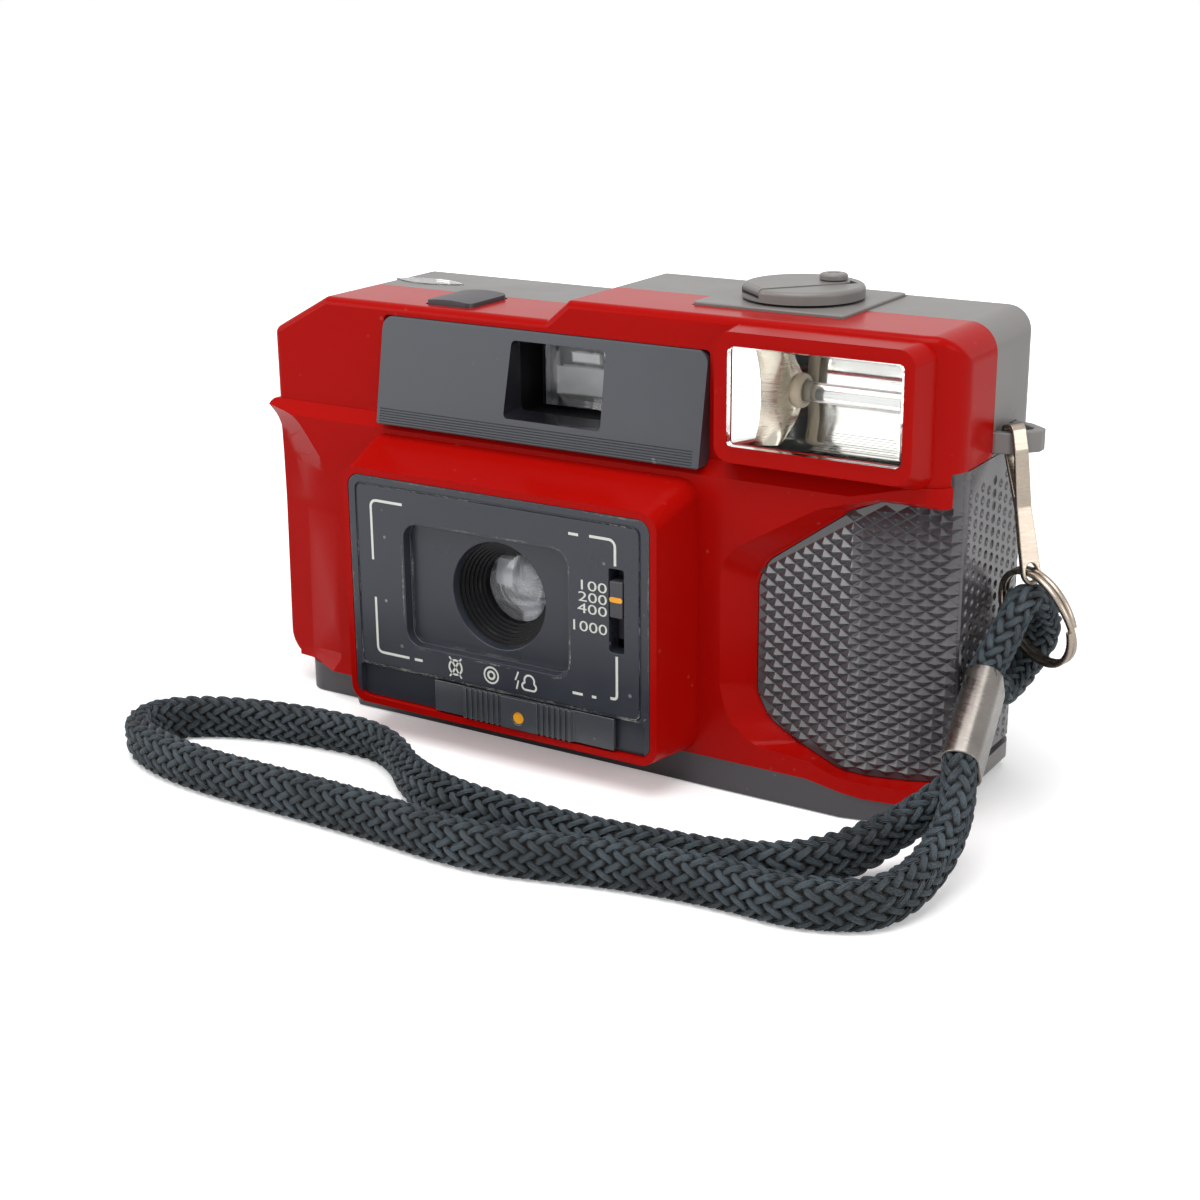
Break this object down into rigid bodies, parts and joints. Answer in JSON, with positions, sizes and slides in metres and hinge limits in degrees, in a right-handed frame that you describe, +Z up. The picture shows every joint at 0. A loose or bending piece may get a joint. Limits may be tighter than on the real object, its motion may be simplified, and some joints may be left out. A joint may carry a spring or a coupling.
{
  "type": "film camera",
  "caption": "Compact 35 mm film camera with built-in flash, zone lever, folding rewind crank, hinged back and a braided wrist strap.",
  "frame": {"origin": "centre of the tripod socket's mouth in the camera's base", "axes": "+X to the right seen from the front, the lens looks along -Y, +Z up"},
  "size_m": [0.1449, 0.0818, 0.079],
  "materials": {
    "red_shell": "gloss",
    "grey_shell": "satin",
    "black_shell": "matte",
    "grip_grey": "satin",
    "bezel_black": "satin",
    "plate_black": "gloss",
    "inner_black": "matte",
    "clear": "clear",
    "bright_metal": "mirror",
    "steel": "satin",
    "spring_steel": "satin",
    "brass": "satin",
    "foam": "matte",
    "cell": "gloss",
    "board": "matte",
    "braid": "matte",
    "dial_white": "matte"
  },
  "bodies": {
    "camera": {"front_cover": "red_shell", "rear_cover": "grey_shell", "bottom_cover": "black_shell", "film_chassis": "inner_black", "cartridge_chamber": "inner_black", "light_seals": "foam", "grip_panel": "grip_grey", "viewfinder_bezel": "bezel_black", "viewfinder_tunnel": "inner_black", "viewfinder_front_lens": "clear", "viewfinder_eyepiece": "clear", "ready_lamp": "clear", "lens_plate": "plate_black", "lens_barrel": "inner_black", "front_lens": "clear", "lens_retainer": "inner_black", "rear_lens": "clear", "shutter_plate": "spring_steel", "button_spring": "spring_steel", "flash_window": "clear", "flash_reflector": "bright_metal", "flash_tube": "clear", "flash_capacitor": "plate_black", "flash_board": "board", "rewind_plate": "grey_shell", "counter_window": "clear", "door_hinge_pin": "spring_steel", "battery_holder": "inner_black", "battery_cells": "cell", "battery_contacts": "spring_steel", "battery_door_pin": "spring_steel", "tripod_socket": "brass", "case_screws": "spring_steel", "strap_lug": "grey_shell", "strap_clip": "steel", "strap_ferrule": "steel", "wrist_cord": "braid", "ring_loop_cord": "braid"},
    "back_door": {"back_door": "grey_shell", "pressure_plate": "spring_steel", "pressure_spring": "spring_steel"},
    "door_latch": {"door_latch": "black_shell"},
    "shutter_button": {"shutter_button": "black_shell"},
    "shutter_blade": {"shutter_blade": "spring_steel"},
    "aperture_slider": {"aperture_slider": "plate_black"},
    "speed_slider": {"speed_slider": "black_shell"},
    "rewind_collar": {"rewind_collar": "brass"},
    "rewind_shaft": {"rewind_shaft": "spring_steel", "rewind_knob": "grey_shell", "crank_pin": "spring_steel"},
    "rewind_crank": {"rewind_crank": "grey_shell"},
    "crank_knob": {"crank_knob": "grey_shell"},
    "film_advance": {"take_up_spool": "inner_black", "advance_wheel": "black_shell"},
    "sprocket": {"sprocket_drum": "inner_black"},
    "counter": {"counter_dial": "dial_white"},
    "rewind_release": {"rewind_release": "black_shell"},
    "battery_door": {"battery_door": "grey_shell", "door_contact": "spring_steel"},
    "split_ring": {"split_ring": "steel"}
  },
  "joints": [
    {"name": "back_door_hinge", "type": "hinge", "parent": "camera", "child": "back_door", "pos_m": [-0.0596, 0.0166, 0.029], "axis": [0, 0, 1], "range_deg": [0, 110]},
    {"name": "door_latch_slide", "type": "slide", "parent": "camera", "child": "door_latch", "axis": [0, 0, -1], "range_m": [0, 0.004]},
    {"name": "shutter_press", "type": "slide", "parent": "camera", "child": "shutter_button", "axis": [0, 0, -1], "range_m": [0, 0.0018], "stiffness_N_per_m": 400, "springref_m": -0.0006, "deforming": ["button_spring"]},
    {"name": "blade_swing", "type": "hinge", "parent": "camera", "child": "shutter_blade", "pos_m": [0.0032, -0.01115, 0.0375], "axis": [0, -1, 0], "range_deg": [0, 40.5]},
    {"name": "zone_lever", "type": "slide", "parent": "camera", "child": "aperture_slider", "axis": [1, 0, 0], "range_m": [-0.0128, 0]},
    {"name": "speed_select", "type": "slide", "parent": "camera", "child": "speed_slider", "axis": [0, 0, 1], "range_m": [-0.0052, 0.0017]},
    {"name": "rewind_turn", "type": "hinge", "parent": "camera", "child": "rewind_collar", "pos_m": [0.031, 0.003, 0.073], "axis": [0, 0, 1], "continuous": true},
    {"name": "rewind_lift", "type": "slide", "parent": "rewind_collar", "child": "rewind_shaft", "axis": [0, 0, 1], "range_m": [0, 0.008]},
    {"name": "crank_fold", "type": "hinge", "parent": "rewind_shaft", "child": "rewind_crank", "pos_m": [0.02573, -0.00328, 0.0772], "axis": [0.766, -0.6428, 0], "range_deg": [0, 165]},
    {"name": "crank_knob_spin", "type": "hinge", "parent": "rewind_crank", "child": "crank_knob", "pos_m": [0.03421, 0.00683, 0.0785], "axis": [0, 0, 1], "continuous": true},
    {"name": "film_advance_turn", "type": "hinge", "parent": "camera", "child": "film_advance", "pos_m": [-0.0478, 0.0046, 0.059], "axis": [0, 0, 1], "continuous": true},
    {"name": "sprocket_turn", "type": "hinge", "parent": "camera", "child": "sprocket", "pos_m": [-0.0335, 0.007, 0.04], "axis": [0, 0, 1], "continuous": true},
    {"name": "counter_turn", "type": "hinge", "parent": "camera", "child": "counter", "pos_m": [-0.0392, 0.005, 0.068], "axis": [0, 0, 1], "continuous": true},
    {"name": "rewind_release_press", "type": "slide", "parent": "camera", "child": "rewind_release", "axis": [0, 0, 1], "range_m": [0, 0.0015], "stiffness_N_per_m": 250, "springref_m": -0.0005},
    {"name": "battery_door_hinge", "type": "hinge", "parent": "camera", "child": "battery_door", "pos_m": [0.0472, 0.005, 0.0014], "axis": [0, 1, 0], "range_deg": [0, 100]},
    {"name": "split_ring_turn", "type": "hinge", "parent": "camera", "child": "split_ring", "pos_m": [0.0719, 0.0016, 0.031], "axis": [0.4804, 0.8406, 0.2502], "continuous": true}
  ],
  "couplings": [
    {"joint": "blade_swing", "follows": "shutter_press", "rad_per_m": 387.8},
    {"joint": "sprocket_turn", "follows": "film_advance_turn", "ratio": -1.4167},
    {"joint": "counter_turn", "follows": "film_advance_turn", "ratio": 0.039352}
  ]
}
